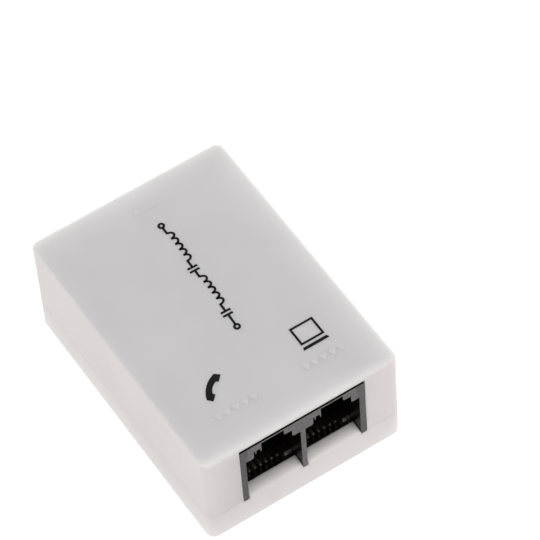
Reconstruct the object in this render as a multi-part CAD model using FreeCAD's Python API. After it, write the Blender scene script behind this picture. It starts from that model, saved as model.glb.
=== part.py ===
import FreeCAD, Part
import math
import os
from FreeCAD import Vector

# In-line telephone filter: a two-part moulded case with two modular jacks side by side
# at the front, one at the back, and a low-pass filter on a circuit board between them.
# Millimetres. The origin is the middle of the underside, +Z is up, the two outlet
# jacks face -Y and the line jack faces +Y.

# Case: a deep cover over a shallow tray
case_width = 35.5
case_length = 50.8
case_height = 21.2
seam_height = 6.4
seam_gap = 0.03
case_wall = 1.6
roof_thickness = 1.0
floor_thickness = 1.5
corner_radius = 1.5
inner_corner_radius = 0.6
roof_edge_radius = 0.6
foot_edge_bevel = 0.9

# Tongue of the tray, which stands in a rebate of the cover
tongue_height = 0.9
tongue_thickness = 0.75
tongue_gap = 0.12

# Snap hooks of the tray and their pockets in the cover
hook_spacing = 17.0
hook_width = 4.0
hook_thickness = 1.0
hook_wall_gap = 0.15
hook_reach = 4.6
barb_depth = 0.6
barb_height = 1.2
pocket_clearance = 0.15

# Circuit board on two posts and two ribs of the tray, held down by the cover's posts and ribs
board_thickness = 1.2
board_edge_gap = 0.4
board_post_height = 2.1
board_post_diameter = 3.6
board_pin_diameter = 1.6
board_pin_height = 1.4
cover_post_diameter = 3.2
post_to_side = 2.4
post_to_end = 2.4
pin_clearance = 0.12
post_gap = 0.1
board_rib_reach = 1.6
board_rib_thickness = 1.4

# Modular jack housing, six positions wide
port_width = 9.9
outer_wall = 1.0
middle_wall = 0.88
jack_depth = 14.6
cavity_depth = 12.2
jack_setback = 0.1
jack_side_gap = 0.1
jack_roof_gap = 0.77
latch_roof = 0.3
latch_slot_width = 4.05
latch_slot_height = 1.3
latch_step_width = 6.95
latch_step_height = 1.65
latch_front_wall = 3.2
latch_rib_width = 0.22
latch_rib_height = 0.75
latch_rib_pitch = 0.96
latch_rib_count = 2
step_corner_radius = 0.35
leg_sink = 0.45
leg_foot_radius = 0.35
jack_tab_length = 3.0
jack_tab_tail = 0.8
jack_tab_inset = 5.2

# Lip of the tray that closes each port from below
lip_depth = 2.2
lip_rise = 0.6
lip_side_gap = 0.12

# Contact carrier, a comb that the contact springs lie in
carrier_gap = 0.06
carrier_setback = 0.6
carrier_floor = 1.2
comb_height = 1.5
comb_depth = 2.2
comb_margin = 0.35
rear_comb_height = 7.1
rear_comb_roof = 0.5
comb_slot_depth = 0.9
rib_height = 0.35
cheek_height = 1.3
cheek_radius = 0.8
carrier_peg_diameter = 1.5

# Contact springs
contact_count = 6
contact_pitch = 1.02
contact_width = 0.46
contact_thickness = 0.3
contact_side_gap = 0.09
contact_nose_radius = 0.6
contact_heel_radius = 0.6
contact_slope = 22.0
contact_nose_setback = 0.57
contact_row_spacing = 1.1
contact_tail = 1.2

# Chokes between the jacks, side by side: two E-shaped ferrite halves in a wound bobbin
choke_spacing = 3.2
choke_side_gap = 1.0
core_width = 12.0
core_thickness = 3.8
core_back = 1.8
core_outer_leg = 1.8
core_centre_leg = 3.6
core_corner_radius = 0.5
bobbin_sleeve = 0.6
bobbin_flange = 0.7
bobbin_clearance = 0.1
flange_height = 9.2
rail_height = 1.8
rail_width = 2.4
rail_length = 10.4
winding_margin = 0.4
winding_corner_radius = 1.4
choke_pin_diameter = 0.6
choke_pin_pitch = 8.0

# Film capacitors, one on each side of the line jack
component_side_gap = 0.5
component_row_gap = 0.3
component_lift = 0.3
film_thickness = 4.4
film_height = 8.4
film_edge_radius = 1.3
film_edge_bevel = 0.6
film_lead_inset = 1.5

# Disc capacitor, standing on edge between the chokes
disc_diameter = 6.0
disc_thickness = 2.4
disc_edge_bevel = 0.7
disc_pitch = 5.0

# Resistors, between the film capacitors and the rear posts
resistor_diameter = 2.4
resistor_edge_bevel = 0.4
resistor_lead_gap = 0.5
resistor_lead_run = 1.2
resistor_bend = 0.6

# Component leads: thin wires, drawn like their holes and pegs with flat sides
lead_diameter = 0.6
lead_sides = 8
lead_tail = 1.2
hole_clearance = 0.15

# Flat steps that the bends of the contact springs and the latch steps' corners are drawn with
nose_steps = 5
heel_steps = 3
corner_steps = 3

# How far a cutting shape runs past the face that it opens, and how near is the same place
overrun = 1.0
same_place = 0.001

# Levels and faces that follow from the sizes above
roof_underside = case_height - roof_thickness
board_underside = floor_thickness + board_post_height
board_top = board_underside + board_thickness
tail_level = board_underside - lead_tail
front_face = -case_length / 2
inner_half_width = case_width / 2 - case_wall
inner_half_length = case_length / 2 - case_wall
port_pitch = port_width + middle_wall
jack_top = roof_underside - jack_roof_gap
latch_slot_top = jack_top - latch_roof
latch_step_top = latch_slot_top - latch_slot_height
shoulder_level = latch_step_top - latch_step_height
lip_crest = seam_height + lip_rise
foot_level = seam_height - leg_sink
jack_lower_face = lip_depth + carrier_gap
carrier_front = jack_lower_face + carrier_setback
channel_level = board_top + carrier_floor
comb_top = channel_level + comb_height
rear_comb_top = channel_level + rear_comb_height
contact_slot_width = contact_width + 2 * contact_side_gap
post_x = inner_half_width - post_to_side
post_y = inner_half_length - post_to_end
hook_face = inner_half_width - hook_wall_gap
hook_inner_face = hook_face - hook_thickness
rebate_top = seam_height + tongue_height + tongue_gap
peg_level = board_underside - jack_tab_tail
core_half_length = (hook_inner_face - choke_side_gap - choke_spacing / 2) / 2
choke_x = choke_spacing / 2 + core_half_length
core_level = board_top + rail_height + flange_height / 2
bobbin_end = core_half_length - core_back - bobbin_clearance
core_window = core_width / 2 - core_outer_leg
component_level = board_top + component_lift
line_jack_side = port_width / 2 + outer_wall
side_room = hook_inner_face - line_jack_side
side_room_x = line_jack_side + side_room / 2
film_width = side_room - 2 * component_side_gap
film_pitch = film_width - 2 * film_lead_inset
resistor_pitch = side_room - 2 * resistor_lead_gap - lead_diameter
resistor_length = resistor_pitch - 2 * resistor_lead_run
resistor_y = post_y - board_post_diameter / 2 - component_row_gap - resistor_diameter / 2
film_y = resistor_y - resistor_diameter / 2 - component_row_gap - film_thickness / 2


def block(x0, x1, y0, y1, z0, z1):
    """A rectangular block between two opposite corners."""
    return Part.makeBox(x1 - x0, y1 - y0, z1 - z0, Vector(x0, y0, z0))


def centred_block(x, y, width, length, z0, z1):
    """A block on a rectangle centred at x, y."""
    return block(x - width / 2, x + width / 2, y - length / 2, y + length / 2, z0, z1)


def post(x, y, diameter, z0, z1):
    """An upright cylinder from z0 to z1."""
    return Part.makeCylinder(diameter / 2, z1 - z0, Vector(x, y, z0))


def lead_section(centre, along, diameter):
    """The flat-sided outline of a thin wire that runs along Z or X."""
    corners = []
    for number in range(lead_sides + 1):
        angle = 2 * math.pi * (number + 0.5) / lead_sides
        across = diameter / 2 * math.cos(angle)
        beside = diameter / 2 * math.sin(angle)
        offset = Vector(across, beside, 0) if along == "Z" else Vector(0, beside, across)
        corners.append(centre + offset)
    return Part.makePolygon(corners)


def thin_post(x, y, diameter, z0, z1):
    """An upright thin wire, or the hole for one, from z0 to z1."""
    section = Part.Face(lead_section(Vector(x, y, z0), "Z", diameter))
    return section.extrude(Vector(0, 0, z1 - z0))


def rounded_rectangle(width, length, radius, z):
    """A level face with four round corners."""
    a = width / 2
    b = length / 2
    r = radius
    edges = []
    for turn in range(4):
        angle = math.radians(90 * turn)
        along, across = (a, b) if turn % 2 == 0 else (b, a)
        local = [
            (along, -(across - r)),
            (along, across - r),
            (along - r + r * math.sqrt(0.5), across - r + r * math.sqrt(0.5)),
            (along - r, across),
        ]
        places = [
            Vector(
                p * math.cos(angle) - q * math.sin(angle),
                p * math.sin(angle) + q * math.cos(angle),
                z,
            )
            for p, q in local
        ]
        edges.append(Part.LineSegment(places[0], places[1]).toShape())
        edges.append(Part.Arc(places[1], places[2], places[3]).toShape())
    return Part.Face(Part.Wire(edges))


def rounded_prism(width, length, radius, z0, z1):
    """An upright prism with four round corners."""
    return rounded_rectangle(width, length, radius, z0).extrude(Vector(0, 0, z1 - z0))


def edges_at_level(shape, z):
    """The edges of a shape that lie wholly at one height."""
    return [e for e in shape.Edges if all(abs(v.Z - z) < same_place for v in e.Vertexes)]


def bend(across, level, radius, start, end, steps):
    """Points on an arc in an upright plane, from one angle to another in degrees."""
    points = []
    for step in range(steps + 1):
        angle = math.radians(start + (end - start) * step / steps)
        points.append((across + radius * math.cos(angle), level + radius * math.sin(angle)))
    return points


def prism_along_y(points, y0, y1):
    """A profile of x, z points carried from y0 to y1."""
    corners = [Vector(x, y0, z) for x, z in points]
    return Part.Face(Part.makePolygon(corners + corners[:1])).extrude(Vector(0, y1 - y0, 0))


def to_back(shape):
    """A copy turned from the front end of the case to the back end."""
    copy = shape.copy()
    copy.rotate(Vector(0, 0, 0), Vector(0, 0, 1), 180)
    return copy


def port_centres(port_count):
    """The x of each port of a jack with that many ports."""
    first = -port_pitch * (port_count - 1) / 2
    return [first + port_pitch * number for number in range(port_count)]


def jack_width(port_count):
    """Outside width of a jack housing."""
    return port_count * port_width + (port_count - 1) * middle_wall + 2 * outer_wall


def window_half_width(port_count):
    """Half the width of the case opening round a jack."""
    return jack_width(port_count) / 2 + jack_side_gap


def post_places():
    """The x, y of the two rear posts that clamp the board."""
    return [(side * post_x, post_y) for side in (-1, 1)]


def hook_places():
    """The side and y of the four snap hooks."""
    return [(side, end * hook_spacing / 2) for side in (-1, 1) for end in (-1, 1)]


def turned_to_side(shape, side):
    """The shape made for the +X side, turned to the other side if asked."""
    return shape if side > 0 else shape.mirror(Vector(0, 0, 0), Vector(1, 0, 0))


def board_rib(gap, z0, z1):
    """An upright rib beside the outlet jack, that far from the tray's inner wall."""
    x0 = inner_half_width - board_rib_reach
    y0 = -post_y - board_rib_thickness / 2
    return block(x0, inner_half_width - gap, y0, y0 + board_rib_thickness, z0, z1)


def hook_profile(grow):
    """The x, z outline of a hook's barb, with its sloping top."""
    tip = hook_face + barb_depth + grow
    level = seam_height + hook_reach - barb_height
    return [
        (hook_face, level - grow),
        (tip, level - grow),
        (tip, level + barb_height / 3 + grow),
        (hook_face, level + barb_height + grow),
    ]


def snap_hook(y):
    """A springy hook that stands up from the tray's side wall."""
    y0 = y - hook_width / 2
    y1 = y + hook_width / 2
    arm = block(hook_inner_face, hook_face, y0, y1, floor_thickness, seam_height + hook_reach)
    root = block(hook_face, inner_half_width, y0, y1, floor_thickness, board_top)
    return arm.fuse(root).fuse(prism_along_y(hook_profile(0), y0, y1))


def hook_pocket(y):
    """The blind pocket in the cover's wall that a hook snaps into."""
    half = hook_width / 2 + pocket_clearance
    return prism_along_y(hook_profile(pocket_clearance), y - half, y + half)


def window_cut(port_count, z0):
    """What a jack's opening removes from the front wall."""
    half = window_half_width(port_count)
    return block(-half, half, front_face - overrun, front_face + lip_depth, z0, roof_underside)


def cover():
    """The upper shell: walls, roof, two jack openings, rebate, pockets, posts and ribs."""
    bottom = seam_height + seam_gap
    shell = rounded_prism(case_width, case_length, corner_radius, bottom, case_height)
    shell = shell.makeFillet(roof_edge_radius, edges_at_level(shell, case_height))
    hollow = rounded_prism(
        2 * inner_half_width, 2 * inner_half_length, inner_corner_radius, bottom, roof_underside
    )
    spread = 2 * (tongue_thickness + tongue_gap)
    rebate = rounded_prism(
        2 * inner_half_width + spread,
        2 * inner_half_length + spread,
        inner_corner_radius,
        bottom,
        rebate_top,
    )
    shell = shell.cut(hollow).cut(rebate)
    shell = shell.cut(window_cut(2, bottom)).cut(to_back(window_cut(1, bottom)))
    for side, y in hook_places():
        shell = shell.cut(turned_to_side(hook_pocket(y), side))
    for x, y in post_places():
        shell = shell.fuse(cover_post(x, y))
    rib = board_rib(tongue_gap, board_top + post_gap, roof_underside)
    rib = rib.fuse(board_rib(0, rebate_top, roof_underside))
    for side in (-1, 1):
        shell = shell.fuse(turned_to_side(rib, side))
    return shell.removeSplitter()


def cover_post(x, y):
    """A post under the roof whose bored end takes a pin of the tray."""
    end = board_top + post_gap
    bore_diameter = board_pin_diameter + 2 * pin_clearance
    bore = post(x, y, bore_diameter, end, board_top + board_pin_height + post_gap)
    return post(x, y, cover_post_diameter, end, roof_underside).cut(bore)


def lip(x):
    """The edge of the tray under one port, rounded at the front and highest at the back."""
    half = port_width / 2 - lip_side_gap
    y0 = front_face
    y1 = front_face + lip_depth
    back = Vector(x - half, y1, seam_height)
    front = Vector(x - half, y0, seam_height)
    crest = Vector(x - half, y1, lip_crest)
    crown = Part.Ellipse(front, crest, back).toShape(0, math.pi / 2)
    below = [Vector(x - half, y1, floor_thickness), Vector(x - half, y0, floor_thickness)]
    outline = Part.Wire(Part.makePolygon([crest] + below + [front]).Edges + [crown])
    return Part.Face(outline).extrude(Vector(2 * half, 0, 0))


def tray():
    """The lower shell: floor, walls, tongue, port lips, snap hooks, board posts and ribs."""
    shell = rounded_prism(case_width, case_length, corner_radius, 0, seam_height)
    shell = shell.makeChamfer(foot_edge_bevel, edges_at_level(shell, 0))
    hollow = rounded_prism(
        2 * inner_half_width, 2 * inner_half_length, inner_corner_radius, floor_thickness, seam_height
    )
    top = seam_height + tongue_height
    tongue = rounded_prism(
        2 * (inner_half_width + tongue_thickness),
        2 * (inner_half_length + tongue_thickness),
        inner_corner_radius,
        seam_height,
        top,
    )
    tongue = tongue.cut(
        rounded_prism(2 * inner_half_width, 2 * inner_half_length, inner_corner_radius, seam_height, top)
    )
    shell = shell.cut(hollow).fuse(tongue)
    shell = shell.cut(window_cut(2, foot_level)).cut(to_back(window_cut(1, foot_level)))
    for x in port_centres(2):
        shell = shell.fuse(lip(x))
    shell = shell.fuse(to_back(lip(0)))
    for side, y in hook_places():
        shell = shell.fuse(turned_to_side(snap_hook(y), side))
    for x, y in post_places():
        shell = shell.fuse(post(x, y, board_post_diameter, floor_thickness, board_underside))
        shell = shell.fuse(post(x, y, board_pin_diameter, board_underside, board_top + board_pin_height))
    for side in (-1, 1):
        shell = shell.fuse(turned_to_side(board_rib(0, floor_thickness, board_underside), side))
    return shell.removeSplitter()


def stepped_outline(x, steps):
    """A port's x, z outline, open at the bottom, from its half widths and their tops."""
    radius = step_corner_radius
    left = [(x - steps[0][0], board_top - overrun)]
    for (half_width, top), (next_half_width, _) in zip(steps, steps[1:]):
        left.append((x - half_width, top))
        left += bend(x - next_half_width - radius, top + radius, radius, 270, 360, corner_steps)
    left.append((x - steps[-1][0], steps[-1][1]))
    return left + [(2 * x - px, pz) for px, pz in reversed(left)]


def port_cavity(x):
    """All that one port takes out of its housing, with the room for its contact carrier."""
    throat = front_face + latch_front_wall
    back = front_face + cavity_depth
    sides = (port_width / 2, shoulder_level)
    step = (latch_step_width / 2, latch_step_top)
    slot = (latch_slot_width / 2, latch_slot_top)
    widened_slot = (latch_step_width / 2, latch_slot_top)
    mouth = prism_along_y(stepped_outline(x, [sides, step, slot]), front_face - overrun, throat)
    body = prism_along_y(stepped_outline(x, [sides, widened_slot]), throat, back)
    carrier_room = block(
        x - port_width / 2,
        x + port_width / 2,
        back,
        front_face + jack_depth + overrun,
        board_top - overrun,
        rear_comb_top + carrier_gap,
    )
    return mouth.fuse(body).fuse(carrier_room)


def latch_rib(x, number):
    """A thin rib that hangs beside a latch slot, counted outwards from the slot."""
    edge = x - latch_slot_width / 2 - number * latch_rib_pitch
    front = front_face + jack_setback
    return block(
        edge - latch_rib_width,
        edge,
        front,
        front_face + latch_front_wall,
        latch_step_top - latch_rib_height,
        latch_step_top + latch_slot_height / 2,
    )


def jack_tab(x):
    """A flat tab of a housing's outer wall that passes through the board."""
    middle = front_face + jack_depth - jack_tab_inset
    return block(
        x - outer_wall / 2,
        x + outer_wall / 2,
        middle - jack_tab_length / 2,
        middle + jack_tab_length / 2,
        peg_level,
        board_top,
    )


def jack_slab(port_count, y0, y1, z0):
    """A slice of a jack housing with its ports cut through."""
    half = jack_width(port_count) / 2
    slab = block(-half, half, y0, y1, z0, jack_top)
    for x in port_centres(port_count):
        slab = slab.cut(port_cavity(x))
    return slab


def jack_housing(port_count):
    """A jack housing at the front end, with round feet in the notches of the tray's edge."""
    half = jack_width(port_count) / 2
    lower = front_face + jack_lower_face
    face = jack_slab(port_count, front_face + jack_setback, lower, foot_level)
    feet = [e for e in edges_at_level(face, foot_level) if e.BoundBox.XLength < same_place]
    body = jack_slab(port_count, lower, front_face + jack_depth, board_top)
    housing = body.fuse(face.makeFillet(leg_foot_radius, feet))
    for x in port_centres(port_count):
        for number in range(latch_rib_count):
            housing = housing.fuse(latch_rib(x, number))
    for side in (-1, 1):
        housing = housing.fuse(jack_tab(side * (half - outer_wall / 2)))
    return housing.removeSplitter()


def contact_x(number):
    """The x of a contact, measured from the middle of its port."""
    return (number - (contact_count - 1) / 2) * contact_pitch


def contact_heel(number):
    """The depth at which a contact turns down to the board, in two staggered rows."""
    row = number % 2
    return cavity_depth + contact_row_spacing / 2 + row * contact_row_spacing


def contact_path(number):
    """The outer line of a contact spring: tail, heel, run, nose and sloping free end."""
    slope = math.radians(contact_slope)
    heel_depth = contact_heel(number) - contact_thickness / 2
    heel = contact_heel_radius
    nose = contact_nose_radius
    nose_depth = carrier_front + contact_nose_setback + nose
    line = [(heel_depth, board_underside - contact_tail)]
    line += bend(heel_depth - heel, channel_level - heel, heel, 0, 90, heel_steps)
    line += bend(nose_depth, channel_level + nose, nose, 270, 90 + contact_slope, nose_steps)
    start_depth, start_level = line[-1]
    tip_depth = cavity_depth + comb_slot_depth - contact_side_gap - contact_thickness * math.sin(slope)
    line.append((tip_depth, start_level + (tip_depth - start_depth) * math.tan(slope)))
    return line


def contact(number):
    """A contact spring, bent from flat wire, for a port at x = 0."""
    x = contact_x(number) - contact_width / 2
    corners = [Vector(x, front_face + depth, z) for depth, z in contact_path(number)]
    face = Part.makePolygon(corners).makeOffset2D(contact_thickness, 2, True, True)
    return face.extrude(Vector(contact_width, 0, 0))


def contact_slot(number):
    """What one contact takes out of its carrier: nose, run, heel, tail and comb slot."""
    x0 = contact_x(number) - contact_slot_width / 2
    x1 = x0 + contact_slot_width
    heel = contact_heel(number)
    reach = contact_thickness / 2 + contact_side_gap
    run_top = channel_level + contact_thickness + contact_side_gap
    heel_floor = channel_level - contact_heel_radius

    def room(depth0, depth1, z0, z1):
        return block(x0, x1, front_face + depth0, front_face + depth1, z0, z1)

    slot = room(carrier_front - overrun, cavity_depth, channel_level, comb_top + overrun)
    slot = slot.fuse(room(cavity_depth - overrun, heel + reach, channel_level, run_top))
    slot = slot.fuse(room(heel - reach - contact_heel_radius, heel + reach, heel_floor, run_top))
    slot = slot.fuse(room(heel - reach, heel + reach, board_top - overrun, channel_level))
    comb_slot_top = rear_comb_top - rear_comb_roof
    comb_slot_end = cavity_depth + comb_slot_depth
    return slot.fuse(room(cavity_depth - overrun, comb_slot_end, channel_level, comb_slot_top))


def contact_carrier():
    """The comb-shaped moulding under a port at x = 0, which holds six contacts."""
    half = port_width / 2 - carrier_gap
    comb_half = contact_count * contact_pitch / 2 + comb_margin
    cheek_top = channel_level + cheek_height
    front = front_face + carrier_front
    back = front_face + jack_depth
    wall = front_face + cavity_depth + carrier_gap
    cheeks = block(-half, half, front, front + comb_depth, board_top, cheek_top)
    brow = [e for e in edges_at_level(cheeks, cheek_top) if e.BoundBox.YMax < front + same_place]
    carrier = cheeks.makeFillet(cheek_radius, brow)
    carrier = carrier.fuse(block(-half, half, front, back, board_top, channel_level))
    carrier = carrier.fuse(block(-half, half, wall, back, board_top, rear_comb_top))
    carrier = carrier.fuse(block(-comb_half, comb_half, front, front + comb_depth, board_top, comb_top))
    rib_top = channel_level + rib_height
    carrier = carrier.fuse(block(-comb_half, comb_half, front, wall, channel_level, rib_top))
    for number in range(contact_count):
        carrier = carrier.cut(contact_slot(number))
    peg = thin_post(0, carrier_peg_y(), carrier_peg_diameter, peg_level, board_top)
    return carrier.fuse(peg).removeSplitter()


def carrier_peg_y():
    """The y of the peg that seats a front carrier in the board."""
    return front_face + jack_depth - jack_tab_inset


def core_half():
    """One E-shaped ferrite half with its back towards +X, centred on the choke."""
    back = core_half_length
    root = core_half_length - core_back
    outer = core_width / 2
    centre = core_centre_leg / 2
    upper = [
        (0, centre),
        (root, centre),
        (root, core_window),
        (0, core_window),
        (0, outer),
        (back, outer),
    ]
    outline = upper + [(x, -y) for x, y in reversed(upper)]
    corners = [Vector(x, y, core_level - core_thickness / 2) for x, y in outline]
    half = Part.Face(Part.makePolygon(corners + corners[:1])).extrude(Vector(0, 0, core_thickness))
    back_edges = [e for e in half.Edges if e.BoundBox.XMin > back - same_place]
    upright = [e for e in back_edges if e.BoundBox.YLength < same_place]
    return half.makeFillet(core_corner_radius, upright)


def sleeve_bore(x0, x1):
    """The room for the core's centre legs inside a bobbin."""
    width = core_centre_leg + 2 * bobbin_clearance
    height = core_thickness / 2 + bobbin_clearance
    return block(x0, x1, -width / 2, width / 2, core_level - height, core_level + height)


def sleeve_outside(x0, x1):
    """The outside of a bobbin's sleeve, which the winding lies on."""
    width = core_centre_leg + 2 * (bobbin_clearance + bobbin_sleeve)
    height = core_thickness / 2 + bobbin_clearance + bobbin_sleeve
    return block(x0, x1, -width / 2, width / 2, core_level - height, core_level + height)


def bobbin():
    """A choke's moulded bobbin: sleeve, two flanges and two rails on the board."""
    body = sleeve_outside(-bobbin_end, bobbin_end)
    flange_width = 2 * (core_window - bobbin_clearance)
    for side in (-1, 1):
        middle = side * (bobbin_end - bobbin_flange / 2)
        foot = core_level - flange_height / 2
        flange = centred_block(middle, 0, bobbin_flange, flange_width, foot, foot + flange_height)
        rail = centred_block(middle, 0, rail_width, rail_length, board_top, foot)
        body = body.fuse(flange).fuse(rail)
    return body.cut(sleeve_bore(-bobbin_end, bobbin_end)).removeSplitter()


def winding():
    """The wire wound on a bobbin, as one body with round corners."""
    end = bobbin_end - bobbin_flange
    half_y = core_window - bobbin_clearance - winding_margin
    half_z = flange_height / 2 - winding_margin
    coil = block(-end, end, -half_y, half_y, core_level - half_z, core_level + half_z)
    corners = [e for e in coil.Edges if e.BoundBox.XLength > end]
    return coil.makeFillet(winding_corner_radius, corners).cut(sleeve_outside(-end, end))


def choke_pin_places():
    """The x, y of a choke's four terminal pins, from its middle."""
    x = bobbin_end - bobbin_flange / 2
    y = choke_pin_pitch / 2
    return [(-x, -y), (-x, y), (x, -y), (x, y)]


def lead(x, y, top):
    """A straight lead from the underside of a component down through the board."""
    return thin_post(x, y, lead_diameter, tail_level, top)


def film_capacitor():
    """The moulded case of a film capacitor at x = y = 0."""
    top = component_level + film_height
    body = rounded_prism(film_width, film_thickness, film_edge_radius, component_level, top)
    return body.makeChamfer(film_edge_bevel, edges_at_level(body, top))


def round_body(centre, diameter, length, bevel):
    """A round body along X with bevelled rims."""
    start = centre - Vector(length / 2, 0, 0)
    body = Part.makeCylinder(diameter / 2, length, start, Vector(1, 0, 0))
    rims = [e for e in body.Edges if e.BoundBox.XLength < same_place]
    return body.makeChamfer(bevel, rims)


def disc_body():
    """The dipped body of the disc capacitor, standing on edge at x = y = 0."""
    centre = Vector(0, 0, component_level + disc_diameter / 2)
    return round_body(centre, disc_diameter, disc_thickness, disc_edge_bevel)


def resistor_level():
    """The height of a resistor's axis when it lies on the board."""
    return component_level + resistor_diameter / 2


def resistor_body():
    """A resistor's body, lying along X at x = y = 0."""
    centre = Vector(0, 0, resistor_level())
    return round_body(centre, resistor_diameter, resistor_length, resistor_edge_bevel)


def resistor_lead():
    """The +X lead of a resistor: straight out, a bend, and down through the board."""
    x1 = resistor_pitch / 2
    z = resistor_level()
    places = [
        Vector(resistor_length / 2, 0, z),
        Vector(x1 - resistor_bend, 0, z),
        Vector(x1, 0, z - resistor_bend),
        Vector(x1, 0, tail_level),
    ]
    section = lead_section(places[0], "X", lead_diameter)
    return Part.makePolygon(places).makePipeShell([section], True, True, 1)


def moved(shape, x, y):
    """A copy of a shape moved level by x, y."""
    copy = shape.copy()
    copy.translate(Vector(x, y, 0))
    return copy


def lead_places():
    """The x, y of every round lead that the board is drilled for."""
    places = []
    for side in (-1, 1):
        places += [(side * choke_x + x, y) for x, y in choke_pin_places()]
        places += [(side * side_room_x + end * film_pitch / 2, film_y) for end in (-1, 1)]
        places += [(side * side_room_x + end * resistor_pitch / 2, resistor_y) for end in (-1, 1)]
        places.append((0, side * disc_pitch / 2))
    return places


def jack_board_cuts(port_count):
    """The holes that a front jack needs in the board: contact tails, pegs and tabs."""
    z0 = board_underside - overrun
    z1 = board_top + overrun
    cuts = []
    for x in port_centres(port_count):
        for number in range(contact_count):
            y = front_face + contact_heel(number)
            hole = contact_width + 2 * hole_clearance
            cuts.append(thin_post(x + contact_x(number), y, hole, z0, z1))
        cuts.append(thin_post(x, carrier_peg_y(), carrier_peg_diameter + 2 * hole_clearance, z0, z1))
    half = (jack_width(port_count) - outer_wall) / 2
    for side in (-1, 1):
        width = outer_wall + 2 * hole_clearance
        length = jack_tab_length + 2 * hole_clearance
        cuts.append(centred_block(side * half, carrier_peg_y(), width, length, z0, z1))
    return cuts


def circuit_board():
    """The board, notched for the snap hooks and drilled for all that it carries."""
    half_width = inner_half_width - board_edge_gap
    half_length = case_length / 2 - lip_depth - board_edge_gap
    board = rounded_prism(2 * half_width, 2 * half_length, inner_corner_radius, board_underside, board_top)
    z0 = board_underside - overrun
    z1 = board_top + overrun
    notch = hook_thickness + hook_wall_gap + board_edge_gap
    cuts = []
    for side, y in hook_places():
        x = side * (inner_half_width - notch / 2)
        cuts.append(centred_block(x, y, notch, hook_width + 2 * board_edge_gap, z0, z1))
    for x, y in post_places():
        cuts.append(post(x, y, board_pin_diameter + 2 * pin_clearance, z0, z1))
    for x, y in lead_places():
        cuts.append(thin_post(x, y, lead_diameter + 2 * hole_clearance, z0, z1))
    cuts += jack_board_cuts(2)
    cuts += [to_back(cut) for cut in jack_board_cuts(1)]
    return board.cut(cuts)


def jack_nodes():
    """The two jacks with their carriers and contacts."""
    nodes = {"outlet_jack": jack_housing(2), "line_jack": to_back(jack_housing(1))}
    left_x, right_x = port_centres(2)
    carrier = contact_carrier()
    nodes["left_outlet_carrier"] = moved(carrier, left_x, 0)
    nodes["right_outlet_carrier"] = moved(carrier, right_x, 0)
    nodes["line_carrier"] = to_back(carrier)
    for number in range(contact_count):
        spring = contact(number)
        nodes[f"left_outlet_contact_{number + 1}"] = moved(spring, left_x, 0)
        nodes[f"right_outlet_contact_{number + 1}"] = moved(spring, right_x, 0)
        nodes[f"line_contact_{number + 1}"] = to_back(spring)
    return nodes


def choke_nodes():
    """The two chokes, each with its bobbin, winding, core halves and terminal pins."""
    nodes = {}
    half = core_half()
    for name, side in (("left", -1), ("right", 1)):
        pieces = {
            "bobbin": bobbin(),
            "winding": winding(),
            "core_right": half,
            "core_left": half.mirror(Vector(0, 0, 0), Vector(1, 0, 0)),
        }
        for number, (pin_x, pin_y) in enumerate(choke_pin_places()):
            pin = thin_post(pin_x, pin_y, choke_pin_diameter, tail_level, board_top)
            pieces[f"pin_{number + 1}"] = pin
        for piece, shape in pieces.items():
            nodes[f"{name}_choke_{piece}"] = moved(shape, side * choke_x, 0)
    return nodes


def filter_nodes():
    """The capacitors and resistors with their leads."""
    disc = disc_body()
    nodes = {"disc_capacitor": disc}
    disc_level = component_level + disc_diameter / 2
    for number, end in enumerate((-1, 1)):
        disc_lead = lead(0, end * disc_pitch / 2, disc_level).cut(disc)
        nodes[f"disc_capacitor_lead_{number + 1}"] = disc_lead
    for name, side in (("left", -1), ("right", 1)):
        x = side * side_room_x
        nodes[f"{name}_film_capacitor"] = moved(film_capacitor(), x, film_y)
        nodes[f"{name}_resistor"] = moved(resistor_body(), x, resistor_y)
        for number, end in enumerate((-1, 1)):
            film_lead = lead(end * film_pitch / 2, 0, component_level)
            nodes[f"{name}_film_capacitor_lead_{number + 1}"] = moved(film_lead, x, film_y)
            wire = turned_to_side(resistor_lead(), end)
            nodes[f"{name}_resistor_lead_{number + 1}"] = moved(wire, x, resistor_y)
    return nodes


def main():
    os.makedirs("parts", exist_ok=True)
    nodes = {"top_cover": cover(), "bottom_tray": tray(), "circuit_board": circuit_board()}
    nodes.update(jack_nodes())
    nodes.update(choke_nodes())
    nodes.update(filter_nodes())
    for name, shape in nodes.items():
        shape.exportStep(f"parts/{name}.step")


main()
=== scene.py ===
import math
import bmesh
import bpy
from mathutils import Matrix, Vector


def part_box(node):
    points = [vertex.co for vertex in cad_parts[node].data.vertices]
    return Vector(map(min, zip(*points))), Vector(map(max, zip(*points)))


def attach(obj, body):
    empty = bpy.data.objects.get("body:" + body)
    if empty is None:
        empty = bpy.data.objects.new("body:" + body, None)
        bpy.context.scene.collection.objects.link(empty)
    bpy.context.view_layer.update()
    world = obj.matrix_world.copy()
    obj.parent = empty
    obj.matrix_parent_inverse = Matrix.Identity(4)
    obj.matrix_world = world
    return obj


# In-line telephone filter in a pale moulded case, lying on a white table in soft light.
# Lengths in the comments and in the named sizes are millimetres; Blender works in metres.

MM = 0.001

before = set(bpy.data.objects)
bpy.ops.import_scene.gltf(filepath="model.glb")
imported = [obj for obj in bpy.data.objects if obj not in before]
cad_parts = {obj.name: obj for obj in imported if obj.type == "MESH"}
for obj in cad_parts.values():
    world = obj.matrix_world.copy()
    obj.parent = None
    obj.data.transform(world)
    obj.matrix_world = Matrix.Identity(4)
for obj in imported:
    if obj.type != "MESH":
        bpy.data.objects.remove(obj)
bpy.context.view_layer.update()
roof_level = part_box("top_cover")[1].z / MM

# Marks on the roof: printed film and shallow raised relief
ink_film = 0.012
raised_height = 0.014
ink_stroke = 0.4

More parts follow.
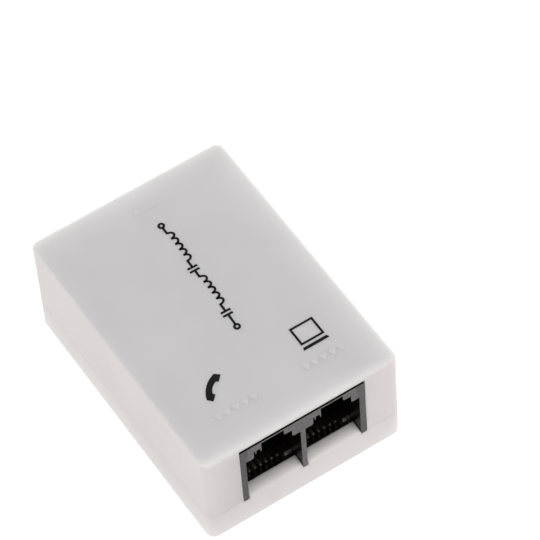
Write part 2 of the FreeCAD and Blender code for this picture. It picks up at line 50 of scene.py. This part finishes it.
# Row of circuit symbols down the middle of the roof, read from the rear end to the front
symbol_row_rear = Vector((1.12, 17.0))
symbol_row_front = Vector((0.50, -7.1))
symbol_height = 1.75

# Handset sign by the left outlet and screen sign by the right one
handset_centre = Vector((-8.73, -13.68))
handset_turn = 225.0
screen_centre = Vector((8.79, -13.37))
screen_width = 4.27
screen_depth = 3.63
screen_stroke = 0.38


def linear(hex_colour):
    """Linear colour from an sRGB hex value such as "C8C8CA"."""
    channels = []
    for start in (0, 2, 4):
        value = int(hex_colour[start:start + 2], 16) / 255
        channels.append(value / 12.92 if value <= 0.04045 else ((value + 0.055) / 1.055) ** 2.4)
    return (*channels, 1.0)


def add(tree, kind, inputs=None, **settings):
    """One node with its settings, and a value or another node's output on each named input."""
    made = tree.nodes.new(kind)
    for name, value in settings.items():
        setattr(made, name, value)
    for name, value in (inputs or {}).items():
        if isinstance(value, bpy.types.NodeSocket):
            tree.links.new(value, made.inputs[name])
        else:
            made.inputs[name].default_value = value
    return made


def per_metre(size_mm):
    """Pattern scale at which one cell or wave is that many millimetres wide."""
    return 1 / (size_mm * MM)


def shades(tree, factor, *steps):
    """Colour that follows a pattern, from pairs of pattern value and sRGB hex."""
    ramp = add(tree, "ShaderNodeValToRGB", {"Fac": factor})
    elements = ramp.color_ramp.elements
    elements[0].position, elements[0].color = steps[0][0], linear(steps[0][1])
    elements[1].position, elements[1].color = steps[-1][0], linear(steps[-1][1])
    for position, hex_colour in steps[1:-1]:
        elements.new(position).color = linear(hex_colour)
    return ramp.outputs["Color"]


def levels(tree, value, low, high, from_low=0.3, from_high=0.7):
    """A pattern's middle range spread between two plain values."""
    wanted = {"Value": value, "From Min": from_low, "From Max": from_high, "To Min": low, "To Max": high}
    return add(tree, "ShaderNodeMapRange", wanted).outputs["Result"]


def new_finish(name, **constants):
    """A material with a physically based surface; constants go straight on its own sockets."""
    material = bpy.data.materials.new(name)
    material.use_nodes = True
    surface = material.node_tree.nodes["Principled BSDF"]
    for socket, value in constants.items():
        surface.inputs[socket.replace("_", " ")].default_value = value
    return material, material.node_tree, surface


def connect(tree, surface, colour=None, roughness=None, normal=None):
    """Patterns wired to a surface's colour, roughness and normal."""
    for socket, source in (("Base Color", colour), ("Roughness", roughness), ("Normal", normal)):
        if source is not None:
            tree.links.new(source, surface.inputs[socket])


def relief(tree, height, depth_mm, strength=1.0, under=None):
    """Small bumps of that depth, laid over the bumps of another pattern if one is given."""
    wanted = {"Height": height, "Distance": depth_mm * MM, "Strength": strength}
    if under is not None:
        wanted["Normal"] = under
    return add(tree, "ShaderNodeBump", wanted).outputs["Normal"]


def noise(tree, place, size_mm, detail=2.0, rough=0.5):
    """A cloudy pattern with patches of that size."""
    wanted = {"Vector": place, "Scale": per_metre(size_mm), "Detail": detail, "Roughness": rough}
    return add(tree, "ShaderNodeTexNoise", wanted).outputs["Fac"]


def object_place(tree):
    return add(tree, "ShaderNodeTexCoord").outputs["Object"]


def moulded_abs(name, dark, light, glow):
    """Moulded ABS with a fine spark-eroded skin: pale and even; with glow, light shines through its edges."""
    constants = {"IOR": 1.53, "Subsurface_Weight": glow, "Subsurface_Scale": 2.2 * MM}
    material, tree, surface = new_finish(name, **constants)
    surface.inputs["Subsurface Radius"].default_value = (1.0, 0.94, 0.88)
    place = object_place(tree)
    flow = noise(tree, place, 14.0, detail=2.0)
    colour = shades(tree, flow, (0.35, dark), (0.65, light))
    # The eroded skin has pits about 0.1 wide; they are drawn 0.32 wide so that they show
    grain = noise(tree, place, 0.32, detail=3.0, rough=0.6)
    roughness = levels(tree, grain, 0.46, 0.58)
    sink = relief(tree, noise(tree, place, 9.0), 0.05, 0.35)
    connect(tree, surface, colour, roughness, relief(tree, grain, 0.012, 0.55, sink))
    return material


def painted_rim_light_share(tree, place):
    """One at the roof's rim, falling off inwards, widest at the right and the rear: where painted light brightens the
    roof.
    """
    parts = add(tree, "ShaderNodeSeparateXYZ", {"Vector": place}).outputs
    share = 0.0
    for axis, start, end in (("X", 5.0, 17.1), ("Y", 14.0, 24.6), ("Y", -19.5, -24.9)):
        near = levels(tree, parts[axis], 0.0, 1.0, start * MM, end * MM)
        glow = add(tree, "ShaderNodeMath", {0: near, 1: 4.5}, operation="POWER").outputs["Value"]
        share = add(tree, "ShaderNodeMath", {0: share, 1: glow}, operation="MAXIMUM").outputs["Value"]
    return share


def dulled(tree, skin, tone):
    """A skin colour times a paler tone, which paints light and shade on it."""
    wanted = {0: 1.0, 6: skin, 7: tone}
    return add(tree, "ShaderNodeMix", wanted, data_type="RGBA", blend_type="MULTIPLY").outputs[2]


def front_wall_painted_shade(tree, place, skin):
    """The skin with painted shade: a little darker on the front wall beside the window, where the black jack is behind
    it.
    """
    parts = add(tree, "ShaderNodeSeparateXYZ", {"Vector": place}).outputs
    across = levels(tree, parts["X"], 0.0, 1.0, -18.0 * MM, 18.0 * MM)
    steps = ((0.03, "FFFFFF"), (0.17, "F1F1F1"), (0.25, "FFFFFF"), (0.75, "FFFFFF"), (0.83, "FAFAFA"), (0.94, "FFFFFF"))
    # Painted shade beside the window, a little deeper on the left than on the right
    tone = shades(tree, across, *steps)
    front = levels(tree, parts["Y"], 1.0, 0.0, -25.3 * MM, -24.9 * MM)
    below = levels(tree, parts["Z"], 1.0, 0.0, 18.5 * MM, 21.0 * MM)
    share = add(tree, "ShaderNodeMath", {0: front, 1: below}, operation="MINIMUM").outputs["Value"]
    return blend(tree, share, skin, dulled(tree, skin, tone))


def cover_abs():
    """The cover's ABS with painted light and shade: the roof painted darker and cooler than its rim and the walls, the
    walls a little warmer.
    """
    material = moulded_abs("moulded ABS of the cover", "E1DFDD", "E5E3E1", 0.6)
    tree = material.node_tree
    surface = tree.nodes["Principled BSDF"]
    place = object_place(tree)
    skin = surface.inputs["Base Color"].links[0].from_socket
    height = add(tree, "ShaderNodeSeparateXYZ", {"Vector": place}).outputs["Z"]
    # Painted light and shade: a warm tint on the walls, and a darker, cooler roof that fades back to the plain skin at
    # its rim
    walls = front_wall_painted_shade(tree, place, dulled(tree, skin, linear("FBF6F5")))
    roof = blend(tree, painted_rim_light_share(tree, place), dulled(tree, skin, linear("ECEBED")), skin)
    connect(tree, surface, blend(tree, levels(tree, height, 0.0, 1.0, 20.6 * MM, 21.1 * MM), walls, roof))
    # The wall is thin where the tray's tongue stands behind it, so little light runs down in it
    tree.links.new(levels(tree, height, 0.0, 0.6, 7.3 * MM, 9.5 * MM), surface.inputs["Subsurface Weight"])
    return material


def tray_abs():
    """The tray's ABS with painted light and shade: painted paler toward its foot for the light of the white table."""
    # The skin is painted paler than the cover's, for the light that the white table throws up on the tray
    material = moulded_abs("moulded ABS of the tray", "EAE5E2", "EEE9E6", 0.6)
    tree = material.node_tree
    surface = tree.nodes["Principled BSDF"]
    place = object_place(tree)
    skin = surface.inputs["Base Color"].links[0].from_socket
    parts = add(tree, "ShaderNodeSeparateXYZ", {"Vector": place}).outputs
    # Painted light from the table: full at the foot, duller up towards the seam
    foot = shades(tree, levels(tree, parts["Z"], 0.0, 1.0, 0.0, 8.0 * MM), (0.15, "FFFFFF"), (0.8, "F2F2F2"))
    # Only the lips under the ports show above the seam: painted shade darkens them behind, in the jack's shade, and a
    # little at their very front edge
    inward = levels(tree, parts["Y"], 0.0, 1.0, -25.4 * MM, -22.4 * MM)
    lips = shades(tree, inward, (0.0, "F1F1F1"), (0.12, "FFFFFF"), (0.33, "FFFFFF"), (0.6, "F0F0F0"), (0.73, "E3E3E3"))
    tone = blend(tree, levels(tree, parts["Z"], 0.0, 1.0, 6.3 * MM, 6.5 * MM), foot, lips)
    connect(tree, surface, dulled(tree, skin, tone))
    return material


def facing_ends(tree):
    """One on faces turned to the front or back of the case and zero on all others: the faces that get the painted
    sheen.
    """
    normal = add(tree, "ShaderNodeTexCoord").outputs["Normal"]
    lengthwise = add(tree, "ShaderNodeSeparateXYZ", {"Vector": normal}).outputs["Y"]
    size = add(tree, "ShaderNodeMath", {0: lengthwise}, operation="ABSOLUTE").outputs["Value"]
    return levels(tree, size, 0.0, 1.0, 0.6, 0.85)


def blend(tree, share, first, second):
    """A colour that goes from the first to the second as the share goes from zero to one."""
    return add(tree, "ShaderNodeMix", {0: share, 6: first, 7: second}, data_type="RGBA").outputs[2]


def glass_filled_nylon():
    """Glass-filled black nylon: end faces speckled and painted a lighter grey for the sheen on their eroded skin, all
    others polished black.
    """
    material, tree, surface = new_finish("glass-filled nylon", IOR=1.5, Specular_IOR_Level=0.22)
    place = object_place(tree)
    ends = facing_ends(tree)
    # Painted sheen: the faces turned to the ends are painted mid grey for the white room's shine on their eroded skin
    speckle = noise(tree, place, 0.35, detail=4.0, rough=0.65)
    eroded = shades(tree, speckle, (0.3, "5C5859"), (0.5, "6A6667"), (0.72, "7C7879"))
    # The outer posts of the twin jack stand in the shade of the window's sides
    across = add(tree, "ShaderNodeSeparateXYZ", {"Vector": place}).outputs["X"]
    position = levels(tree, across, 0.0, 1.0, -12.0 * MM, 12.0 * MM)
    shade = shades(tree, position, (0.075, "D2D2D2"), (0.095, "FFFFFF"), (0.905, "FFFFFF"), (0.925, "DEDEDE"))
    eroded = dulled(tree, eroded, shade)
    # Fibres near the skin are 0.01 thick; they are drawn as streaks 0.25 wide
    streak = add(tree, "ShaderNodeMapping", {"Vector": place, "Scale": (0.35, 1.0, 1.0)}).outputs["Vector"]
    fibres = noise(tree, streak, 0.25, detail=2.0)
    polished = shades(tree, fibres, (0.3, "130B0A"), (0.7, "1A1110"))
    rough = levels(tree, fibres, 0.5, 0.66)
    smooth = levels(tree, fibres, 0.2, 0.3)
    spread = {"Value": ends, "To Min": smooth, "To Max": rough}
    roughness = add(tree, "ShaderNodeMapRange", spread).outputs["Result"]
    connect(tree, surface, blend(tree, ends, polished, eroded), roughness, relief(tree, speckle, 0.02, 0.7))
    return material


def glossy_polyester():
    """Black thermoplastic polyester, moulded and polished: deep black with clear highlights."""
    material, tree, surface = new_finish("black polyester", IOR=1.57)
    place = object_place(tree)
    patches = noise(tree, place, 1.6)
    colour = shades(tree, patches, (0.35, "140D0C"), (0.65, "1B1413"))
    roughness = levels(tree, noise(tree, place, 0.5), 0.2, 0.32)
    connect(tree, surface, colour, roughness, relief(tree, patches, 0.01, 0.4))
    return material


def gold_plated_bronze():
    """Phosphor bronze wire with a thin gold plate, dulled by fine draw lines along it and painted near black as shade
    deep in the ports.
    """
    material, tree, surface = new_finish("gold-plated bronze", Metallic=1.0)
    place = object_place(tree)
    along = add(tree, "ShaderNodeMapping", {"Vector": place, "Scale": (1.0, 0.12, 0.12)}).outputs["Vector"]
    # Draw lines are a few hundredths wide; they are drawn 0.12 wide
    lines = noise(tree, along, 0.12, detail=3.0)
    # Painted shade: the gold is painted a dark brown-grey, as it looks deep in the dark ports
    patches_in_painted_shade = noise(tree, place, 1.2)
    colour = shades(tree, patches_in_painted_shade, (0.3, "2C2824"), (0.7, "3B3630"))
    connect(tree, surface, colour, levels(tree, lines, 0.12, 0.22), relief(tree, lines, 0.002, 0.4))
    return material


def soldermask_board():
    """Glass-fibre laminate under green solder mask: faint weave, and darker bands over tracks."""
    material, tree, surface = new_finish("solder-masked laminate", IOR=1.5)
    place = object_place(tree)
    weave_x = add(tree, "ShaderNodeTexWave", {"Vector": place, "Scale": per_metre(0.6) / 6.2832}, bands_direction="X")
    weave_y = add(tree, "ShaderNodeTexWave", {"Vector": place, "Scale": per_metre(0.6) / 6.2832}, bands_direction="Y")
    weave = add(tree, "ShaderNodeMath", {0: weave_x.outputs["Fac"], 1: weave_y.outputs["Fac"]}, operation="MULTIPLY")
    tracks = add(tree, "ShaderNodeTexWave", {"Vector": place, "Scale": per_metre(3.2) / 6.2832}, bands_direction="X")
    colour = shades(tree, tracks.outputs["Fac"], (0.42, "1E5A33"), (0.5, "17492A"), (0.9, "1B5330"))
    roughness = levels(tree, noise(tree, place, 2.0), 0.24, 0.36)
    connect(tree, surface, colour, roughness, relief(tree, weave.outputs["Value"], 0.01, 0.5))
    return material


def ground_ferrite():
    """Sintered ferrite with ground faces: dark grey, stony, with a fine dull sparkle."""
    material, tree, surface = new_finish("ground ferrite", IOR=1.8)
    place = object_place(tree)
    stone = noise(tree, place, 0.4, detail=5.0, rough=0.7)
    colour = shades(tree, stone, (0.3, "2B2B2D"), (0.7, "434347"))
    connect(tree, surface, colour, levels(tree, stone, 0.45, 0.7), relief(tree, stone, 0.01, 0.6))
    return material


def phenolic_bobbin():
    """Black phenolic moulding of the bobbins: hard, even, half-gloss."""
    material, tree, surface = new_finish("moulded phenolic", IOR=1.6)
    place = object_place(tree)
    clouds = noise(tree, place, 0.9, detail=3.0)
    colour = shades(tree, clouds, (0.35, "161514"), (0.65, "211F1E"))
    connect(tree, surface, colour, levels(tree, clouds, 0.3, 0.45), relief(tree, clouds, 0.008, 0.4))
    return material


def enamelled_winding():
    """Enamelled copper wire wound in close turns: warm brown-red with a gleam on every turn."""
    material, tree, surface = new_finish("enamelled copper", Metallic=0.85, Coat_Weight=0.6)
    surface.inputs["Coat Roughness"].default_value = 0.12
    place = object_place(tree)
    # Wire 0.16 thick, drawn as turns 0.3 apart round the X axis
    turns = add(tree, "ShaderNodeTexWave", {"Vector": place, "Scale": per_metre(0.3) / 6.2832, "Distortion": 0.4}, bands_direction="X")
    colour = shades(tree, noise(tree, place, 0.8), (0.3, "8A4220"), (0.7, "B2622F"))
    roughness = levels(tree, turns.outputs["Fac"], 0.22, 0.36)
    connect(tree, surface, colour, roughness, relief(tree, turns.outputs["Fac"], 0.08, 0.8))
    return material


def dipped_epoxy(name, dark, light):
    """Epoxy coating of a dipped capacitor: glossy, with a slow orange-peel ripple."""
    material, tree, surface = new_finish(name, IOR=1.55)
    place = object_place(tree)
    ripple = noise(tree, place, 1.1, detail=1.0)
    colour = shades(tree, ripple, (0.3, dark), (0.7, light))
    connect(tree, surface, colour, levels(tree, ripple, 0.18, 0.3), relief(tree, ripple, 0.05, 0.5))
    return material


def banded_resistor(centre_x, body_length):
    """Lacquered resistor body: beige with four printed colour bands, the last one set apart."""
    material, tree, surface = new_finish("lacquered resistor", IOR=1.5)
    place = object_place(tree)
    along = add(tree, "ShaderNodeSeparateXYZ", {"Vector": place}).outputs["X"]
    start = centre_x - body_length / 2
    spread = {"Value": along, "From Min": start * MM, "From Max": (start + body_length) * MM}
    position = add(tree, "ShaderNodeMapRange", spread).outputs["Result"]
    base = "C9AE7E"
    steps = [(0.0, base)]
    for band_start, hex_colour in ((0.14, "7A1F1A"), (0.3, "7A1F1A"), (0.46, "2E2A26"), (0.78, "A8863A")):
        steps += [(band_start, hex_colour), (band_start + 0.08, base)]
    ramp = add(tree, "ShaderNodeValToRGB", {"Fac": position})
    ramp.color_ramp.interpolation = "CONSTANT"
    ramp.color_ramp.elements[0].color = linear(base)
    ramp.color_ramp.elements[1].position = steps[-1][0]
    ramp.color_ramp.elements[1].color = linear(base)
    for band_place, hex_colour in steps[1:-1]:
        ramp.color_ramp.elements.new(band_place).color = linear(hex_colour)
    lacquer = noise(tree, place, 0.7, detail=2.0)
    connect(tree, surface, ramp.outputs["Color"], levels(tree, lacquer, 0.2, 0.34), relief(tree, lacquer, 0.02, 0.5))
    return material


def tinned_copper():
    """Tinned copper leads: bright grey metal with a slightly frosted dip."""
    material, tree, surface = new_finish("tinned copper", Metallic=1.0)
    place = object_place(tree)
    frost = noise(tree, place, 0.25, detail=3.0)
    colour = shades(tree, frost, (0.3, "A9A9A8"), (0.7, "CBCBC9"))
    connect(tree, surface, colour, levels(tree, frost, 0.25, 0.42), relief(tree, frost, 0.01, 0.5))
    return material


def pad_printed_ink():
    """Black pad-printing ink: a thin half-matt film, a little uneven where the pad lifted."""
    material, tree, surface = new_finish("pad-printed ink", IOR=1.5, Specular_IOR_Level=0.1)
    place = object_place(tree)
    film = noise(tree, place, 0.5, detail=3.0)
    colour = shades(tree, film, (0.3, "0B0A0B"), (0.75, "141314"))
    connect(tree, surface, colour, levels(tree, film, 0.38, 0.55), relief(tree, film, 0.004, 0.4))
    return material


def finish_of_nodes():
    """The finish of every moulded, stamped or wound piece, by the start or end of its name."""
    carrier = glossy_polyester()
    leads = tinned_copper()
    cover = cover_abs()
    tray = tray_abs()
    jack = glass_filled_nylon()
    contact = gold_plated_bronze()
    ferrite = ground_ferrite()
    bobbin = phenolic_bobbin()
    coil = enamelled_winding()
    film = dipped_epoxy("dipped film capacitor", "7A1D16", "93261B")
    disc = dipped_epoxy("dipped disc capacitor", "A9713A", "C2854A")
    board = soldermask_board()
    finishes = {}
    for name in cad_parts:
        if name == "top_cover":
            finishes[name] = cover
        elif name == "bottom_tray":
            finishes[name] = tray
        elif name.endswith("_jack"):
            finishes[name] = jack
        elif name.endswith("_carrier"):
            finishes[name] = carrier
        elif "_contact_" in name:
            finishes[name] = contact
        elif "_lead_" in name or "_pin_" in name:
            finishes[name] = leads
        elif "_core_" in name:
            finishes[name] = ferrite
        elif name.endswith("_bobbin"):
            finishes[name] = bobbin
        elif name.endswith("_winding"):
            finishes[name] = coil
        elif name.endswith("film_capacitor"):
            finishes[name] = film
        elif name == "disc_capacitor":
            finishes[name] = disc
        elif name.endswith("_resistor"):
            low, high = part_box(name)
            finishes[name] = banded_resistor((low.x + high.x) / 2 / MM, (high.x - low.x) / MM)
        else:
            finishes[name] = board
    return finishes


def dress_nodes():
    """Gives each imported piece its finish."""
    finishes = finish_of_nodes()
    for name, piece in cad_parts.items():
        piece.data.materials.clear()
        piece.data.materials.append(finishes[name])


def soften_edges(name, width):
    """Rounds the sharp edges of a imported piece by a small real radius."""
    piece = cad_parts[name]
    weld = piece.modifiers.new("close the seams", "WELD")
    weld.merge_threshold = 0.001 * MM
    bevel = piece.modifiers.new("edge radius", "BEVEL")
    bevel.width = width * MM
    bevel.segments = 2
    bevel.limit_method = "ANGLE"
    bevel.angle_limit = math.radians(40)
    bevel.harden_normals = True


def flat_piece(name, outlines, low, high):
    """A thin plate from closed outlines in roof millimetres; a second loop in a pair is its hole."""
    mesh = bpy.data.meshes.new(name)
    shape = bmesh.new()
    for outer, inner in outlines:
        rings = [outer] if inner is None else [outer, inner]
        for level, flip in ((low, True), (high, False)):
            loops = [[shape.verts.new((x * MM, y * MM, level * MM)) for x, y in ring] for ring in rings]
            cap(shape, loops, flip)
            if level == low:
                lower = loops
        for below, above in zip(lower, loops):
            count = len(below)
            for i in range(count):
                j = (i + 1) % count
                shape.faces.new((below[i], below[j], above[j], above[i]))
    bmesh.ops.recalc_face_normals(shape, faces=shape.faces)
    shape.to_mesh(mesh)
    shape.free()
    piece = bpy.data.objects.new(name, mesh)
    bpy.context.scene.collection.objects.link(piece)
    return piece


def cap(shape, loops, flip):
    """Closes one face of a plate: one polygon, or a band between an outline and its hole."""
    if len(loops) == 1:
        ring = loops[0][::-1] if flip else loops[0]
        shape.faces.new(ring)
        return
    outer, inner = loops
    count = len(outer)
    for i in range(count):
        j = (i + 1) % count
        corners = (outer[i], outer[j], inner[j], inner[i])
        shape.faces.new(corners[::-1] if flip else corners)


def arc_points(centre_x, centre_y, radius, start, end, steps):
    """Points on an arc, angles in degrees."""
    points = []
    for step in range(steps + 1):
        angle = math.radians(start + (end - start) * step / steps)
        points.append((centre_x + radius * math.cos(angle), centre_y + radius * math.sin(angle)))
    return points


def stroke(points, width):
    """Outline of a pen stroke that follows open points."""
    left = []
    right = []
    for i, point in enumerate(points):
        before = Vector(points[max(i - 1, 0)])
        after = Vector(points[min(i + 1, len(points) - 1)])
        way = (after - before).normalized()
        side = Vector((-way.y, way.x)) * width / 2
        left.append(Vector(point) + side)
        right.append(Vector(point) - side)
    return [tuple(p) for p in left] + [tuple(p) for p in reversed(right)]


def placed(outline, centre, turn):
    """An outline turned by an angle in degrees and moved to its place on the roof."""
    angle = math.radians(turn)
    c = math.cos(angle)
    s = math.sin(angle)
    return [(centre.x + c * x - s * y, centre.y + s * x + c * y) for x, y in outline]


def placed_all(outlines, centre, turn):
    """Outlines and their holes, each turned and moved."""
    moved = []
    for outer, inner in outlines:
        hole = None if inner is None else placed(inner, centre, turn)
        moved.append((placed(outer, centre, turn), hole))
    return moved


def handset_outline():
    """A telephone handset along X, its back bowed towards -Y and its two cups towards +Y."""
    back = arc_points(0, 4.32, 5.15, 241.6, 298.4, 14)
    inside = arc_points(0, 2.62, 2.46, 296.6, 243.4, 8)
    return back + [(2.5, 0.85), (1.17, 0.85)] + inside + [(-1.17, 0.85), (-2.5, 0.85)]


def handset_sign():
    outline = placed(handset_outline(), handset_centre, handset_turn)
    return [(outline, None)]


def rectangle(width, depth):
    a = width / 2
    b = depth / 2
    return [(-a, -b), (a, -b), (a, b), (-a, b)]


def screen_sign():
    """A screen's frame with the edge of its keyboard below it."""
    inset = 2 * screen_stroke
    frame_ring = (rectangle(screen_width, screen_depth), rectangle(screen_width - inset, screen_depth - inset))
    top = -screen_depth / 2 - 0.47
    base = [(-2.35, top - 0.55), (2.38, top - 0.55), (2.12, top), (-2.15, top)]
    return placed_all([frame_ring, (base, None)], screen_centre, 0)


def coil_symbol(start, loops, pitch):
    """Half-round humps in a row, the sign for a coil."""
    humps = []
    for loop in range(loops):
        arch = arc_points(0, 0, pitch / 2, 180, 0, 10)
        tall = [(start + pitch * (loop + 0.5) + x, y * symbol_height / pitch) for x, y in arch]
        humps.append((stroke(tall, ink_stroke), None))
    return humps


def wire(start, end):
    return (stroke([(start, 0), (end, 0)], ink_stroke), None)


def plates_symbol(middle):
    """Two plates across the line, the sign for a capacitor."""
    plates = []
    for side in (-1, 1):
        x = middle + side * 0.36
        plates.append((stroke([(x, -symbol_height / 2), (x, symbol_height / 2)], ink_stroke), None))
    return plates


def ring_symbol(middle):
    """A small ring, the sign for a terminal."""
    outer = arc_points(middle, 0, 0.62, 0, 350, 35)
    inner = arc_points(middle, 0, 0.62 - ink_stroke, 0, 350, 35)
    return (outer, inner)


def symbol_row():
    """Terminal, coil, capacitor, coil, capacitor, terminal: the plain signs of a low-pass filter."""
    length = (symbol_row_front - symbol_row_rear).length
    parts = [ring_symbol(0.62), wire(1.1, 2.5), wire(8.5, 10.05)]
    parts += coil_symbol(2.4, 5, 1.25) + plates_symbol(10.5)
    parts += [wire(10.95, 12.4), wire(18.4, 20.0)]
    parts += coil_symbol(12.3, 5, 1.25) + plates_symbol(20.45)
    parts += [wire(20.9, length - 1.1), ring_symbol(length - 0.62)]
    way = symbol_row_front - symbol_row_rear
    turn = math.degrees(math.atan2(way.y, way.x))
    return placed_all(parts, symbol_row_rear, turn)


def arrow_row(centre, count, pitch, turn):
    """A row of small plain arrowheads that point at a port."""
    heads = []
    for number in range(count):
        x = (number - (count - 1) / 2) * pitch
        head = [(x - 0.62, 0.5), (x - 0.5, 0.62), (x + 0.5, 0.62), (x + 0.62, 0.5), (x + 0.08, -0.7), (x - 0.08, -0.7)]
        heads.append((head, None))
    return placed_all(heads, centre, turn)


def mark_roof():
    """Lays the printed signs and the raised marks on the roof."""
    ink = pad_printed_ink()
    # Painted shade: the marks' ABS is painted darker than the cover's skin, to match the painted shade on the roof
    skin = moulded_abs("moulded ABS of the raised marks", "D2CFCF", "D6D3D3", 0.0)
    marks = {
        "symbol_row_print": symbol_row(),
        "handset_print": handset_sign(),
        "screen_print": screen_sign(),
    }
    for name, outlines in marks.items():
        piece = flat_piece(name, outlines, roof_level - 0.01, roof_level + ink_film)
        piece.data.materials.append(ink)
        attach(piece, "root")
    raised = {
        "left_outlet_raised_marks": arrow_row(Vector((-7.5, -18.9)), 5, 1.6, 0),
        "right_outlet_raised_marks": arrow_row(Vector((8.4, -18.9)), 5, 1.6, 0),
        "line_raised_marks": arrow_row(Vector((0.9, 21.0)), 3, 1.6, 180),
    }
    for name, outlines in raised.items():
        piece = flat_piece(name, outlines, roof_level - 0.02, roof_level + raised_height)
        soft = piece.modifiers.new("edge radius", "BEVEL")
        soft.width = 0.014 * MM
        soft.segments = 2
        piece.data.materials.append(skin)
        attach(piece, "root")


def shows_white(tree):
    """One for what the camera sees, also in a shine or through glass, and zero for light on the case."""
    ray = add(tree, "ShaderNodeLightPath").outputs
    share = ray["Is Camera Ray"]
    for kind in ("Is Glossy Ray", "Is Transmission Ray"):
        share = add(tree, "ShaderNodeMath", {0: share, 1: ray[kind]}, operation="MAXIMUM").outputs["Value"]
    return share


def white_table():
    """A wide white table top that stays white in view and keeps the soft shadow."""
    material = bpy.data.materials.new("white table")
    material.use_nodes = True
    tree = material.node_tree
    tree.nodes.clear()
    place = add(tree, "ShaderNodeTexCoord").outputs["Object"]
    clouds = noise(tree, place, 60.0)
    colour = shades(tree, clouds, (0.3, "F6F5F4"), (0.7, "FAF9F8"))
    matt = add(tree, "ShaderNodeBsdfDiffuse", {"Color": colour})
    # Seen by the camera, most of the white is steady and a small part still takes the shadow
    steady = add(tree, "ShaderNodeEmission", {"Color": (1, 1, 1, 1), "Strength": 0.86})
    shadowed = add(tree, "ShaderNodeBsdfDiffuse", {"Color": linear("8A8A8A")})
    white = add(tree, "ShaderNodeAddShader", {0: steady.outputs[0], 1: shadowed.outputs[0]})
    mixed = add(tree, "ShaderNodeMixShader", {"Fac": shows_white(tree), 1: matt.outputs[0], 2: white.outputs[0]})
    add(tree, "ShaderNodeOutputMaterial", {"Surface": mixed.outputs[0]})
    mesh = bpy.data.meshes.new("table")
    shape = bmesh.new()
    bmesh.ops.create_grid(shape, x_segments=8, y_segments=8, size=2.0)
    shape.to_mesh(mesh)
    shape.free()
    floor = bpy.data.objects.new("table", mesh)
    floor.location.z = 0.0
    mesh.materials.append(material)
    bpy.context.scene.collection.objects.link(floor)


def light_room():
    """A pale room, dimmest a little above the horizon and palest overhead."""
    world = bpy.data.worlds.new("pale room")
    bpy.context.scene.world = world
    world.use_nodes = True
    tree = world.node_tree
    tree.nodes.clear()
    place = add(tree, "ShaderNodeTexCoord").outputs["Generated"]
    height = add(tree, "ShaderNodeSeparateXYZ", {"Vector": place}).outputs["Z"]
    sky = shades(tree, height, (0.0, "AFADAB"), (0.35, "959494"), (1.0, "C4C5C9"))
    room = add(tree, "ShaderNodeBackground", {"Color": sky, "Strength": 1.0})
    white = add(tree, "ShaderNodeBackground", {"Color": (1, 1, 1, 1), "Strength": 1.0})
    mixed = add(tree, "ShaderNodeMixShader", {"Fac": shows_white(tree), 1: room.outputs[0], 2: white.outputs[0]})
    add(tree, "ShaderNodeOutputWorld", {"Surface": mixed.outputs[0]})


def soft_lamp(name, place, power, width, depth):
    """A soft box that looks at the middle of the case."""
    lamp = bpy.data.lights.new(name, "AREA")
    lamp.shape = "RECTANGLE"
    lamp.size = width
    lamp.size_y = depth
    lamp.energy = power
    holder = bpy.data.objects.new(name, lamp)
    holder.location = place
    holder.rotation_euler = (Vector((0, 0, 0.01)) - Vector(place)).to_track_quat("-Z", "Y").to_euler()
    bpy.context.scene.collection.objects.link(holder)


def set_camera():
    """A long lens from the front left, looking down on the case."""
    azimuth = math.radians(-28.427)
    elevation = math.radians(54.291)
    roll = math.radians(-5.441)
    distance = 601.82
    aim = Vector((12.296, 12.664, 10.6))
    back = Vector((
        math.sin(azimuth) * math.cos(elevation),
        -math.cos(azimuth) * math.cos(elevation),
        math.sin(elevation),
    ))
    right = Vector((math.cos(azimuth), math.sin(azimuth), 0))
    up = back.cross(right)
    turned_right = right * math.cos(roll) + up * math.sin(roll)
    turned_up = up * math.cos(roll) - right * math.sin(roll)
    lens = bpy.data.cameras.new("camera")
    lens.sensor_width = 36
    lens.lens = 251.62
    lens.shift_x = 0.0599
    lens.shift_y = -0.0415
    lens.clip_start = 0.05
    lens.clip_end = 20
    camera = bpy.data.objects.new("camera", lens)
    camera.matrix_world = Matrix((
        (turned_right.x, turned_up.x, back.x, (aim.x + back.x * distance) * MM),
        (turned_right.y, turned_up.y, back.y, (aim.y + back.y * distance) * MM),
        (turned_right.z, turned_up.z, back.z, (aim.z + back.z * distance) * MM),
        (0, 0, 0, 1),
    ))
    bpy.context.scene.collection.objects.link(camera)
    bpy.context.scene.camera = camera


dress_nodes()
for jack in ("outlet_jack", "line_jack"):
    soften_edges(jack, 0.12)
mark_roof()
white_table()
light_room()
soft_lamp("left soft box", (-0.9, 0.1, 0.4), 3.4, 0.8, 0.5)
soft_lamp("right soft box", (0.2, -0.3, 0.1), 0.28, 0.3, 0.2)
soft_lamp("rear soft box", (0.48, 0.54, 0.16), 3.2, 0.5, 0.25)
soft_lamp("top soft box", (0.1, -0.4, 0.7), 1.6, 0.6, 0.4)
set_camera()
bpy.context.scene.view_settings.view_transform = "Standard"
